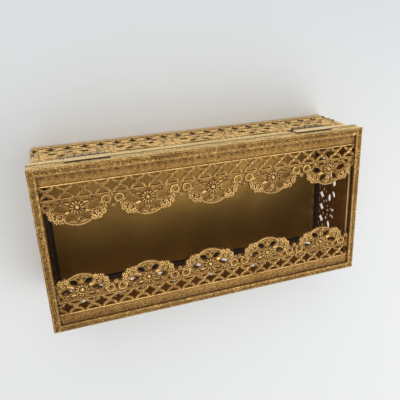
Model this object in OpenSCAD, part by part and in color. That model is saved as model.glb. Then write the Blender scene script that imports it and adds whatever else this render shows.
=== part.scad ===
// Long low casket of gilded filigree metal, with a hinged lid that is open in the middle.
// X runs along the length, the hinges are at the back (+Y), and the base stands on Z = 0.

/* [Overall] */
// Length of the lid, over its rails
box_l = 254; // [200:1:320]
// Depth of the lid, over its rails
box_d = 127; // [114:1:180]
// Height of the closed box
box_h = 63.5; // [58:0.5:90]
// Height of the case up to the rim that the lid seats on
case_h = 55.5; // [48:0.5:64]
// How far the lid's skirt hangs down past the rim
lid_lap = 4; // [2:0.5:6]
// How far the lid stands past the walls on each side
lid_overhang = 2; // [1:0.1:3]
// Gap between the closed lid and the rim
lid_gap = 0.3; // [0.2:0.05:0.6]

/* [Filigree] */
// Thickness of the pierced sheet
sheet_t = 1; // [0.8:0.1:2]
// Height of the lid's filigree band from the rail's inner edge to the top of its lobes
band_h = 39.5; // [38:0.5:42]
// Height of the filigree in the walls, up to the rim rail
wall_band_h = 41; // [40.5:0.5:44]
// Height of the plain engraved border
border_h = 8.5; // [7:0.5:10]
// Height of the lattice row
lattice_h = 9; // [8:0.5:10]
// Height of the bar between the lattice and the flowers
bar_h = 1.2; // [0.8:0.1:2]
// Width of one lattice cell; a lobe spans four of them
cell_w = 12.3; // [11.5:0.1:13.5]
// How far the pattern of the lid's front strip is cut off centre
front_shift = -4.5; // [-8:0.5:8]
// Width of a rib of the lattice
rib_w = 2.4; // [1.5:0.1:3]
// Width of the half-round openings of the lattice
eye_w = 6.6; // [5:0.1:8]
// Height of the half-round openings
eye_h = 1.9; // [1.2:0.1:3]
// Radius of the stud where two ribs cross
stud_r = 2.2; // [1.5:0.1:2.6]
// Height of the bar along the top of a wall
top_bar_h = 1.4; // [1:0.1:2.5]
// Solid end of a band, past its last opening
end_bar = 1.2; // [0.6:0.1:3]
// How far a bead stands proud of the sheet
bead_r = 0.6; // [0.4:0.1:0.9]

/* [Lid] */
// Width of the lid rail's top face
rail_w = 5.5; // [4.5:0.1:8]
// Thickness of the lid rail's skirt
skirt_t = 1.5; // [1.2:0.1:2.5]
// Thickness of the lip that covers the edge of the filigree
lip_t = 2; // [1.2:0.1:2.5]
// How far the flange that seats on the rim reaches in from the skirt's outside
seat_w = 3.6; // [3:0.1:5]
// Thickness of that flange
seat_t = 0.8; // [0.6:0.1:2]
// Depth of the sunk panel along the faces of the rail
groove_depth = 0.35; // [0.1:0.05:0.5]
// Clearance between the filigree's edge and the skirt
strip_gap = 0.2; // [0.1:0.05:0.5]

/* [Case] */
// How far the rim rail laps down behind the filigree
rim_lap = 2; // [1:0.5:3]
// Thickness of the rim rail's metal
rim_t = 1.2; // [0.8:0.1:2]
// Width of the rim rail's flange
rim_w = 1.6; // [1.4:0.1:6]
// Height of the base angle's upright leg
angle_h = 6; // [4:0.5:7]
// Width of the base angle's flat leg
angle_w = 8; // [5:0.5:12]
// Thickness of the base angle's metal
angle_t = 1; // [0.8:0.1:2]
// Thickness of the base board
board_t = 4.5; // [3:0.5:6]
// Thickness of the black lining
lining_t = 1.2; // [0.6:0.1:2]
// Height that the lining's edge turns up the walls, from the base
lining_edge_h = 9; // [8:0.5:12]
// Thickness of the floor plate
plate_t = 0.8; // [0.5:0.1:1.5]
// Bare lining between the floor plate and the lining's edge
plate_margin = 2.9; // [1:0.1:8]
// Clearance of the board and lining inside the base angle
board_gap = 0.1; // [0.05:0.05:0.5]

/* [Hinge] */
// Distance from each end of the box to the middle of a hinge
hinge_inset = 40; // [30:1:60]
// Length of a hinge leaf
leaf_w = 30.5; // [20:0.5:40]
// How far the barrel stops short of each end of its leaves
barrel_inset = 2; // [0:0.5:4]
// Radius of the hinge barrel
barrel_r = 1.6; // [1.3:0.1:2.4]
// Radius of the hinge pin
pin_r = 0.7; // [0.5:0.05:1]
// Clearance between the barrel and the back wall
barrel_gap = 0.6; // [0.4:0.1:1.5]
// How far the top of the barrel lies below the lid's skirt
barrel_drop = 5.7; // [0.3:0.1:8]
// Thickness of a hinge leaf
leaf_t = 0.8; // [0.6:0.1:1.2]
// Height of the lid's hinge leaf beyond the barrel
leaf_h = 10.5; // [4:0.5:12]
// Clearance between the case's hinge leaf and the raised work below it
leaf_gap = 0.3; // [0.2:0.1:1]
// Number of knuckles in a barrel
knuckles = 5; // [3:2:7]
// Clearance between the pin and the knuckles that turn on it
pin_gap = 0.05; // [0.02:0.01:0.1]
// Gap between neighbouring knuckles
knuckle_gap = 0.4; // [0.2:0.05:0.5]

/* [Hidden] */
$fn = 48;

gilt = [0.66, 0.52, 0.30];
gilt_light = [0.78, 0.66, 0.42];
satin_gold = [0.45, 0.34, 0.16];
felt_black = [0.06, 0.04, 0.03];
board_brown = [0.25, 0.17, 0.10];
hinge_brass = [0.60, 0.50, 0.30];

eps = 0.01;
mitre_gap = 0.03;
lid_foot_z = case_h + lid_gap - lid_lap;
lid_h = box_h - lid_foot_z;
wall_l = box_l - 2 * lid_overhang;
wall_d = box_d - 2 * lid_overhang;

// The hinge axis, and the shift that brings the middle of the whole object to Y = 0
axis_y = wall_d / 2 + barrel_gap + barrel_r;
axis_z = lid_foot_z - barrel_drop - barrel_r;
barrel_w = leaf_w - 2 * barrel_inset;
knuckle_w = barrel_w / knuckles;
case_leaf_h = axis_z - barrel_r - knuckle_gap - band_h - leaf_gap;
axis_out = axis_y - box_d / 2;
centre_y = (axis_y + barrel_r - box_d / 2) / 2;

// Levels and insets of what lies in the base
board_z = angle_t;
lining_z = board_z + board_t;
plate_z = lining_z + lining_t;
board_inset = sheet_t + angle_t + board_gap;
plate_inset = board_inset + lining_t + plate_margin;

// Bands of the filigree, measured from its plain edge
lattice_y = border_h;
bar_y = lattice_y + lattice_h;
flower_y = bar_y + bar_h;
lobe_h = band_h - flower_y;
top_bar_y = wall_band_h - top_bar_h - flower_y;
pitch = 4 * cell_w;

// Radius of a half-round opening of the lattice, whose middle lies outside the lattice row
eye_r = (eye_w * eye_w / 4 + eye_h * eye_h) / (2 * eye_h);
eye_y = lattice_h / 2 + eye_r - eye_h;

// Rim arc at the top of a lobe, and the middle of the flower under it
rim_arc_r = 15.5;
rim_arc_y = lobe_h - rim_arc_r;
eye_flower_y = 7;

// Scrolls on both sides of the valley between two lobes
scroll_x = 4.2;
scroll_y = 4.3;
scroll_r = 2.8;

// The strip in the lid lies under the rail's lip, and its plain edge reaches to the skirt
strip_inset = skirt_t + strip_gap;
strip_tuck = rail_w - strip_inset;
strip_z = box_h - lip_t - sheet_t;

// ---------------------------------------------------------------- shared shapes

// Moves a piece from the middle of the box to the middle of the whole object
module place() {
    translate([0, -centre_y, 0]) children();
}

// A mitred bar along X, its outer face on Y = 0 and its section drawn in inset and height
module mitred_bar(length, section_w) {
    intersection() {
        rotate([90, 0, 90])
            translate([0, 0, -length / 2])
                linear_extrude(length) children();
        translate([0, 0, -box_h])
            linear_extrude(3 * box_h)
                polygon([
                    [-length / 2 + mitre_gap, 0],
                    [length / 2 - mitre_gap, 0],
                    [length / 2 - mitre_gap - section_w, section_w],
                    [-length / 2 + mitre_gap + section_w, section_w]
                ]);
    }
}

// Puts a piece drawn along X with its outer face on Y = 0 onto one side of a length x depth frame
module on_front(depth) {
    translate([0, -depth / 2, 0]) children();
}

module on_back(depth) {
    translate([0, depth / 2, 0]) rotate([0, 0, 180]) children();
}

module on_left(length) {
    translate([-length / 2, 0, 0]) rotate([0, 0, -90]) children();
}

module on_right(length) {
    translate([length / 2, 0, 0]) rotate([0, 0, 90]) children();
}

// ---------------------------------------------------------------- filigree

// Pointed oval: the shape that two crossing arcs make
module leaf_shape(length, width) {
    arc_r = (length * length + width * width) / (4 * width);
    intersection() {
        translate([0, width / 2 - arc_r]) circle(arc_r);
        translate([0, arc_r - width / 2]) circle(arc_r);
    }
}

// Both halves of something that mirrors about X = 0
module both_sides() {
    children();
    mirror([1, 0]) children();
}

// Something at the middle of every lobe that a length can show, the pattern moved by a shift
module each_lobe(length, shift) {
    reach = ceil(length / 2 / pitch + 0.5);
    for (i = [-reach:reach]) translate([i * pitch + shift, 0]) children();
}

// Openings of one lattice cell: a diamond with hollow sides, and half a crossing at each side
module lattice_cell() {
    difference() {
        square([cell_w, lattice_h - 2 * bead_r], center = true);
        for (sx = [-1, 1]) {
            translate([sx * cell_w / 2, 0]) circle(stud_r);
            for (sy = [-1, 1])
                translate([sx * cell_w / 2, sy * eye_y]) circle(eye_r + rib_w);
        }
    }
}

// The two half-round openings over and under a crossing
module lattice_eyes() {
    intersection() {
        square([eye_w, lattice_h], center = true);
        for (sy = [-1, 1]) translate([0, sy * eye_y]) circle(eye_r);
    }
}

// A flower on the edge of a lobe, with the sheet that carries it
module edge_flower(x, y, radius) {
    translate([x, y]) circle(radius);
    translate([x - radius, -eps]) square([2 * radius, y + eps]);
}

// Outline of one lobe above the bar, with its middle on X = 0
module lobe_outline() {
    valley_y = 8;
    intersection() {
        translate([0, rim_arc_y]) circle(rim_arc_r);
        translate([-0.78 * cell_w, -eps]) square([1.56 * cell_w, lobe_h + 1]);
    }
    both_sides() {
        edge_flower(0.86 * cell_w, 15.6, 2.5);
        edge_flower(1.18 * cell_w, 15.0, 2.6);
        edge_flower(1.42 * cell_w, 12.2, 2.5);
        edge_flower(1.50 * cell_w, 8.8, 2.1);
    }
    translate([-pitch / 2, -eps]) square([pitch, valley_y]);
    translate([pitch / 2, valley_y + 0.6]) circle(1.9);
}

// Openings of one lobe
module lobe_openings() {
    both_sides() {
        translate([0.42 * cell_w, 13.6]) rotate(38) leaf_shape(6.6, 4.2);
        translate([0.90 * cell_w, 7.0]) rotate(-12) leaf_shape(8.6, 4.6);
        translate([0.54 * cell_w, 1.9]) rotate(-6) leaf_shape(5.2, 1.7);
        translate([1.32 * cell_w, 2.3]) rotate(20) leaf_shape(4.8, 2.4);
        translate([pitch / 2 - scroll_x, scroll_y]) circle(1.1);
    }
    translate([pitch / 2, 4.6]) rotate(90) leaf_shape(5.0, 1.7);
}

// What a wall has above its lobes: a straight bar, and a palmette in every valley that carries it
module wall_top() {
    translate([-pitch / 2, top_bar_y]) square([pitch, top_bar_h]);
    translate([-1.5, lobe_h - 2]) square([3, top_bar_y + eps - lobe_h + 2]);
    both_sides() {
        translate([pitch / 2, top_bar_y - 3.6]) circle(4.2);
        translate([pitch / 2 - 1.7, 0]) square([1.7 + eps, top_bar_y]);
        translate([1.46 * cell_w, top_bar_y - 3]) rotate(-62) leaf_shape(8.4, 3.6);
    }
}

// Flat pattern of a band: plain edge on Y = 0, middle on X = 0, lobes towards +Y
module band_pattern(length, tuck, straight, shift) {
    top = straight ? wall_band_h : band_h + eps;
    intersection() {
        translate([-length / 2, -tuck]) square([length, tuck + top]);
        difference() {
            union() {
                translate([-length / 2, -tuck]) square([length, tuck + flower_y]);
                each_lobe(length, shift)
                    translate([0, flower_y]) {
                        lobe_outline();
                        if (straight) wall_top();
                    }
            }
            intersection() {
                translate([end_bar - length / 2, 0]) square([length - 2 * end_bar, top]);
                each_lobe(length, shift) {
                    translate([0, flower_y]) lobe_openings();
                    for (cell = [-2:1])
                        translate([(cell + 0.5) * cell_w, lattice_y + lattice_h / 2]) {
                            translate([cell_w / 2, 0]) lattice_cell();
                            lattice_eyes();
                        }
                }
            }
        }
    }
}

// Half of a round wire lying on the sheet, as a section for a straight or a curved run
module half_wire(radius) {
    intersection() {
        circle(radius);
        translate([-radius, 0]) square([2 * radius, radius]);
    }
}

// Half-round beads along the top of the border and along the bar
module band_beads(length) {
    for (y = [lattice_y - bead_r, bar_y + bar_h / 2])
        translate([-length / 2, y, 0])
            rotate([90, 0, 90])
                linear_extrude(length) half_wire(bead_r);
}

// A low dome on the sheet
module dome(radius, height) {
    ball_r = (radius * radius + height * height) / (2 * height);
    rotate_extrude()
        intersection() {
            translate([0, height - ball_r]) circle(ball_r);
            square([radius + eps, height + eps]);
        }
}

// The open flower in the middle of each lobe: an eye in a ring of round petals
module rosette() {
    petals = 10;
    dome(1.9, 1.5);
    for (i = [0:petals - 1]) rotate([0, 0, 360 * i / petals]) translate([3.2, 0, 0]) dome(1.1, 0.9);
}

// Raised wires: the rim arc of a lobe, and a scroll on each side of a valley
module lobe_wires() {
    rim_angle = 36;
    wire_r = 0.7;
    translate([0, rim_arc_y, 0])
        rotate([0, 0, 90 - rim_angle])
            rotate_extrude(angle = 2 * rim_angle)
                translate([rim_arc_r - wire_r - 0.2, 0]) half_wire(wire_r);
    both_sides()
        translate([pitch / 2 - scroll_x, scroll_y, 0])
            rotate([0, 0, -40])
                rotate_extrude(angle = 270) translate([scroll_r, 0]) half_wire(wire_r);
}

// A filigree band lying flat, its face up at Z = sheet_t. Its plain edge and its ends
// reach under a lip by the tuck, where the raised work stops.
module filigree_band(length, tuck = 0, straight = false, shift = 0) {
    shown = length - 2 * tuck;
    linear_extrude(sheet_t) band_pattern(length, tuck, straight, shift);
    translate([0, 0, sheet_t - eps]) band_beads(shown);
    translate([0, flower_y, sheet_t - eps])
        intersection() {
            each_lobe(length, shift) {
                translate([0, eye_flower_y, 0]) rosette();
                lobe_wires();
            }
            translate([-shown / 2, 0, -1]) cube([shown, lobe_h, 2 + stud_r]);
        }
}

// A band stood up as a wall: plain edge on Z = 0, face towards -Y with its plane on Y = 0
module filigree_wall(length) {
    intersection() {
        translate([0, sheet_t, 0]) rotate([90, 0, 0]) filigree_band(length, straight = true);
        translate([0, 0, -1])
            linear_extrude(wall_band_h + 2)
                polygon([
                    [-length / 2 - 2, -2],
                    [length / 2 + 2, -2],
                    [length / 2 - mitre_gap - sheet_t, sheet_t],
                    [-length / 2 + mitre_gap + sheet_t, sheet_t]
                ]);
    }
}

module wall_filigree(length) {
    color(gilt) filigree_wall(length);
}

// ---------------------------------------------------------------- lid

// Section of the lid rail: skirt, lip over the filigree, seat flange, and sunk panels
module lid_rail_section() {
    edge = 1.1;
    border = 0.5;
    difference() {
        union() {
            translate([0, 0]) square([skirt_t, lid_h - edge]);
            translate([edge, lid_h - lip_t]) square([rail_w - edge, lip_t]);
            translate([edge, lid_h - edge])
                intersection() {
                    circle(edge);
                    translate([-edge, 0]) square([edge + eps, edge]);
                }
            translate([edge - eps, lid_h - edge - eps]) square([skirt_t - edge + eps, edge]);
            translate([0, lid_lap]) square([seat_w, seat_t]);
        }
        translate([edge + border, lid_h - groove_depth])
            square([rail_w - 2 * edge - 2 * border, groove_depth + eps]);
        translate([-eps, edge + border])
            square([groove_depth + eps, lid_h - 2 * edge - 2 * border]);
    }
}

module lid_rail(length) {
    color(gilt)
        translate([0, 0, lid_foot_z])
            mitred_bar(length, rail_w) lid_rail_section();
}

module lid_strip(shift) {
    color(gilt)
        translate([0, rail_w, strip_z])
            filigree_band(box_l - 2 * strip_inset, strip_tuck, shift = shift);
}

module lid_front_rail() { place() on_front(box_d) lid_rail(box_l); }
module lid_back_rail() { place() on_back(box_d) lid_rail(box_l); }
module lid_left_rail() { place() on_left(box_l) lid_rail(box_d); }
module lid_right_rail() { place() on_right(box_l) lid_rail(box_d); }
module lid_front_filigree() { place() on_front(box_d) lid_strip(front_shift); }
module lid_back_filigree() { place() on_back(box_d) lid_strip(0); }

// ---------------------------------------------------------------- case walls

module front_wall_filigree() { place() on_front(wall_d) wall_filigree(wall_l); }
module back_wall_filigree() { place() on_back(wall_d) wall_filigree(wall_l); }
module left_wall_filigree() { place() on_left(wall_l) wall_filigree(wall_d); }
module right_wall_filigree() { place() on_right(wall_l) wall_filigree(wall_d); }

// Section of the rim rail: a band flush with the filigree below it, a lap behind the filigree,
// and a narrow flange with a rounded edge, inside the lid's skirt, that the lid seats on
module rim_section() {
    edge = rim_t / 2;
    translate([sheet_t, wall_band_h - rim_lap]) square([rim_t, case_h - wall_band_h + rim_lap - edge]);
    translate([0, wall_band_h]) square([sheet_t + eps, case_h - wall_band_h - edge]);
    translate([edge, case_h - rim_t]) square([sheet_t + rim_w - rim_t, rim_t]);
    translate([edge, case_h - edge]) circle(edge);
    translate([sheet_t + rim_w - edge, case_h - edge]) circle(edge);
}

module rim_rail(length) {
    color(gilt_light) mitred_bar(length, sheet_t + rim_w) rim_section();
}

module front_rim_rail() { place() on_front(wall_d) rim_rail(wall_l); }
module back_rim_rail() { place() on_back(wall_d) rim_rail(wall_l); }
module left_rim_rail() { place() on_left(wall_l) rim_rail(wall_d); }
module right_rim_rail() { place() on_right(wall_l) rim_rail(wall_d); }

// ---------------------------------------------------------------- base

// Angle inside the foot of a wall
module base_angle(length) {
    inner_l = length - 2 * sheet_t;
    color(gilt)
        translate([0, sheet_t, 0])
            mitred_bar(inner_l, angle_w) {
                square([angle_t, angle_h]);
                square([angle_w, angle_t]);
            }
}

module base_front_angle() { place() on_front(wall_d) base_angle(wall_l); }
module base_back_angle() { place() on_back(wall_d) base_angle(wall_l); }
module base_left_angle() { place() on_left(wall_l) base_angle(wall_d); }
module base_right_angle() { place() on_right(wall_l) base_angle(wall_d); }

// A flat sheet, inset from the outside of the walls, lying at a level
module floor_sheet(inset, level, thickness) {
    place()
        translate([inset - wall_l / 2, inset - wall_d / 2, level])
            cube([wall_l - 2 * inset, wall_d - 2 * inset, thickness]);
}

module base_board() {
    color(board_brown) floor_sheet(board_inset, board_z, board_t);
}

module base_lining() {
    color(felt_black) floor_sheet(board_inset, lining_z, lining_t);
}

module lining_edge() {
    color(felt_black)
        difference() {
            floor_sheet(board_inset, plate_z, lining_edge_h - plate_z);
            floor_sheet(board_inset + lining_t, plate_z - 1, lining_edge_h);
        }
}

module floor_plate() {
    color(satin_gold) floor_sheet(plate_inset, plate_z, plate_t);
}

// ---------------------------------------------------------------- hinges

// Puts a hinge piece, drawn about the origin, on the hinge axis at one end of the box
module at_hinge(side) {
    place() translate([side * (box_l / 2 - hinge_inset), axis_y, axis_z]) children();
}

// Barrel lengths of every second knuckle, starting at the given one
module knuckle_row(first) {
    for (i = [first:2:knuckles - 1])
        translate([i * knuckle_w - barrel_w / 2 + knuckle_gap / 2, 0, 0]) children();
}

module knuckle() {
    rotate([0, 90, 0]) cylinder(r = barrel_r, h = knuckle_w - knuckle_gap);
}

module pin_bore(radius) {
    translate([-leaf_w, 0, 0]) rotate([0, 90, 0]) cylinder(r = radius, h = 2 * leaf_w);
}

// Leaf on the back of the lid: the even knuckles, their webs and the plate
module lid_leaf(side) {
    web_w = knuckle_w - knuckle_gap;
    plate_bottom = barrel_r + knuckle_gap;
    color(hinge_brass)
        at_hinge(side)
            difference() {
                union() {
                    knuckle_row(1) {
                        knuckle();
                        translate([0, -axis_out, 0]) cube([web_w, leaf_t, plate_bottom + eps]);
                    }
                    translate([-leaf_w / 2, -axis_out, plate_bottom])
                        cube([leaf_w, leaf_t, leaf_h]);
                }
                pin_bore(pin_r + pin_gap);
            }
}

// Leaf on the back wall: the odd knuckles, their webs and the plate
module case_leaf(side) {
    web_w = knuckle_w - knuckle_gap;
    wall_y = -axis_out - lid_overhang;
    plate_top = -barrel_r - knuckle_gap;
    color(hinge_brass)
        at_hinge(side)
            difference() {
                union() {
                    knuckle_row(0) {
                        knuckle();
                        translate([0, wall_y, plate_top - eps])
                            cube([web_w, leaf_t, knuckle_gap + leaf_t + 2 * eps]);
                        translate([0, wall_y, -barrel_r]) cube([web_w, -wall_y, leaf_t]);
                    }
                    translate([-leaf_w / 2, wall_y, plate_top - case_leaf_h])
                        cube([leaf_w, leaf_t, case_leaf_h]);
                }
                pin_bore(pin_r + pin_gap / 2);
            }
}

module hinge_pin(side) {
    pin_l = barrel_w - 1;
    color(gilt_light)
        at_hinge(side)
            translate([-pin_l / 2, 0, 0]) rotate([0, 90, 0]) cylinder(r = pin_r, h = pin_l);
}

module left_hinge_case_leaf() { case_leaf(-1); }
module right_hinge_case_leaf() { case_leaf(1); }
module left_hinge_pin() { hinge_pin(-1); }
module right_hinge_pin() { hinge_pin(1); }
module left_hinge_lid_leaf() { lid_leaf(-1); }
module right_hinge_lid_leaf() { lid_leaf(1); }

// ---------------------------------------------------------------- pieces

base_front_angle();
base_back_angle();
base_left_angle();
base_right_angle();
base_board();
base_lining();
lining_edge();
floor_plate();
front_wall_filigree();
back_wall_filigree();
left_wall_filigree();
right_wall_filigree();
front_rim_rail();
back_rim_rail();
left_rim_rail();
right_rim_rail();
left_hinge_case_leaf();
right_hinge_case_leaf();
left_hinge_pin();
right_hinge_pin();
left_hinge_lid_leaf();
right_hinge_lid_leaf();
lid_front_rail();
lid_back_rail();
lid_left_rail();
lid_right_rail();
lid_front_filigree();
lid_back_filigree();
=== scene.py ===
"""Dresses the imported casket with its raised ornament, its finishes, and a plain studio stage."""

import math
import random

import bpy
import numpy as np
from bpy.props import FloatProperty, FloatVectorProperty, PointerProperty
from bpy.types import NodeSocket, Operator, Panel, PropertyGroup
from mathutils import Matrix, Vector


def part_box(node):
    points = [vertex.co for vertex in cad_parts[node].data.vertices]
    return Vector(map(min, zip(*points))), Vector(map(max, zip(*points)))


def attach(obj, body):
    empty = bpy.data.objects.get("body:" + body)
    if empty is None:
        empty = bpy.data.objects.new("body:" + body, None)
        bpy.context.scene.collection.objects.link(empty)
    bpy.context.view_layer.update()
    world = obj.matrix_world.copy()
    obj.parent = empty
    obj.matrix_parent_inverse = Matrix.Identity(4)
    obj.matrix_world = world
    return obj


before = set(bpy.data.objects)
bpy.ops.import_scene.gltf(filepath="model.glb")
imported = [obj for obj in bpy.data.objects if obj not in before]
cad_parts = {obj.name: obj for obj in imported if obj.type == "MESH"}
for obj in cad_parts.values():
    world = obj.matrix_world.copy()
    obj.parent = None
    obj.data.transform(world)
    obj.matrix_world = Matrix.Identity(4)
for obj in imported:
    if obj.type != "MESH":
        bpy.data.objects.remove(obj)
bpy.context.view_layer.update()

bl_info = {
    "name": "Gilt Filigree Casket",
    "version": (1, 0, 0),
    "blender": (4, 5, 0),
    "location": "3D View > Sidebar > Casket",
    "description": "Raised filigree ornament, aged gilt finishes and a studio stage for a hinged casket",
    "category": "Object",
}

MM = 0.001
SINK = 0.15  # how far a raised motif is let into its sheet, in mm
SHARP = math.radians(50)  # a crease sharper than this isn't smoothed
KNUCKLES = 5  # of each hinge

# The first seed of the random draws of each group of ornament
LID_SEED = 11
WALL_SEED = 31
RAIL_SEED = 51

LID_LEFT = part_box("lid_left_rail")[0].x
LID_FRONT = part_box("lid_front_rail")[0].y
LID_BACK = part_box("lid_back_rail")[1].y
MIDDLE_Y = (LID_FRONT + LID_BACK) / 2
LID_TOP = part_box("lid_front_rail")[1].z
LID_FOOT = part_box("lid_front_rail")[0].z
LEAF_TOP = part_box("left_hinge_lid_leaf")[1].z
RIM_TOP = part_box("front_rim_rail")[1].z
HEART = (0, MIDDLE_Y, 0.03)  # a point inside the case that its inner faces look towards
ON_TOP = 0.0001  # a point this near below a top, in metres, is on it

# Which way a band runs along each side, and which way that side faces.
SIDES = {
    "front": ((1, 0, 0), (0, -1, 0)),
    "back": ((-1, 0, 0), (0, 1, 0)),
    "left": ((0, -1, 0), (-1, 0, 0)),
    "right": ((0, 1, 0), (1, 0, 0)),
}


# -------------------- sizes and colours


def length_property(name, description, size):
    return FloatProperty(
        name=name, description=description, default=size * MM, precision=4, unit="LENGTH", subtype="DISTANCE"
    )


def colour_property(name, description, *colour):
    return FloatVectorProperty(
        name=name, description=description, default=colour, min=0, max=1, size=3, subtype="COLOR"
    )


class CasketSizes(PropertyGroup):
    sheet: length_property("Sheet", "Thickness of the pierced sheets", 1.0)
    border: length_property("Border", "Height of the plain border of a band", 8.5)
    lattice: length_property("Lattice", "Height of the lattice row", 9.0)
    bar: length_property("Bar", "Height of the bar over the lattice", 1.2)
    band: length_property("Band", "Height of a band up to the top of its lobes", 39.5)
    wall_band: length_property("Wall band", "Height of a band in a wall", 41.0)
    top_bar: length_property("Top bar", "Height of the bar along the top of a wall", 1.4)
    cell: length_property("Cell", "Width of a lattice cell; a lobe spans four", 12.3)
    front_shift: length_property("Front shift", "How far the front strip is cut off centre", -4.5)
    rib: length_property("Rib", "Width of a lattice rib", 2.4)
    eye_width: length_property("Eye width", "Width of the lattice's half-round openings", 6.6)
    eye_height: length_property("Eye height", "Height of the lattice's half-round openings", 1.9)
    relief: length_property("Relief", "Height of the lid's ornament above its sheet", 1.7)
    wall_relief: length_property("Wall relief", "Height of the walls' ornament above their sheets", 1.05)
    rail: length_property("Rail", "Width of the lid rail's top", 5.5)
    panel_inset: length_property("Panel inset", "From a rail's edge to its sunk panel", 1.6)
    panel_depth: length_property("Panel depth", "Depth of a rail's sunk panel", 0.35)


class CasketColours(PropertyGroup):
    gilt: colour_property("Gilt", "Bright gilt on raised work", 0.94, 0.60, 0.215)
    ground: colour_property("Ground", "Darkened gilt of the sheet behind raised work", 0.35, 0.188, 0.052)
    rail: colour_property("Rail", "Gilt of the lid's frame", 0.57, 0.33, 0.100)
    rim: colour_property("Rim", "Pale smooth gilt of the rim and the lid's skirt", 0.82, 0.63, 0.30)
    wall: colour_property("Wall", "Gilt of the pierced walls", 0.76, 0.54, 0.245)
    # Brown patina, which the finishes also use as painted shade in recesses, in the walls' openings and
    # about the hinge.
    patina_and_shade: colour_property("Patina", "Brown in the recesses", 0.055, 0.024, 0.007)
    rust: colour_property("Rust", "Reddish worn patches", 0.30, 0.12, 0.035)
    # Dull inner side of the metal, darkened as painted shade inside the box.
    inside: colour_property("Inside", "Dull inner side of the metal", 0.30, 0.13, 0.03)
    satin: colour_property("Satin gold", "Floor plate", 0.30, 0.17, 0.045)
    hinge: colour_property("Hinge", "Worn hinge metal", 0.76, 0.58, 0.31)
    felt: colour_property("Felt", "Black lining", 0.026, 0.017, 0.011)
    board: colour_property("Board", "Base board", 0.05, 0.032, 0.02)
    floor: colour_property("Floor", "Pale table top", 0.80, 0.80, 0.785)


# -------------------- raised ornament


def heading(turn):
    """The cosine and sine of an angle in degrees."""
    return math.cos(math.radians(turn)), math.sin(math.radians(turn))


def around(x, y, radius, angles):
    """Points about a middle, at angles in radians."""
    return np.stack([x + radius * np.cos(angles), y + radius * np.sin(angles)], 1)


def add_object(name, data):
    made = bpy.data.objects.new(name, data)
    bpy.context.scene.collection.objects.link(made)
    return made


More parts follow.
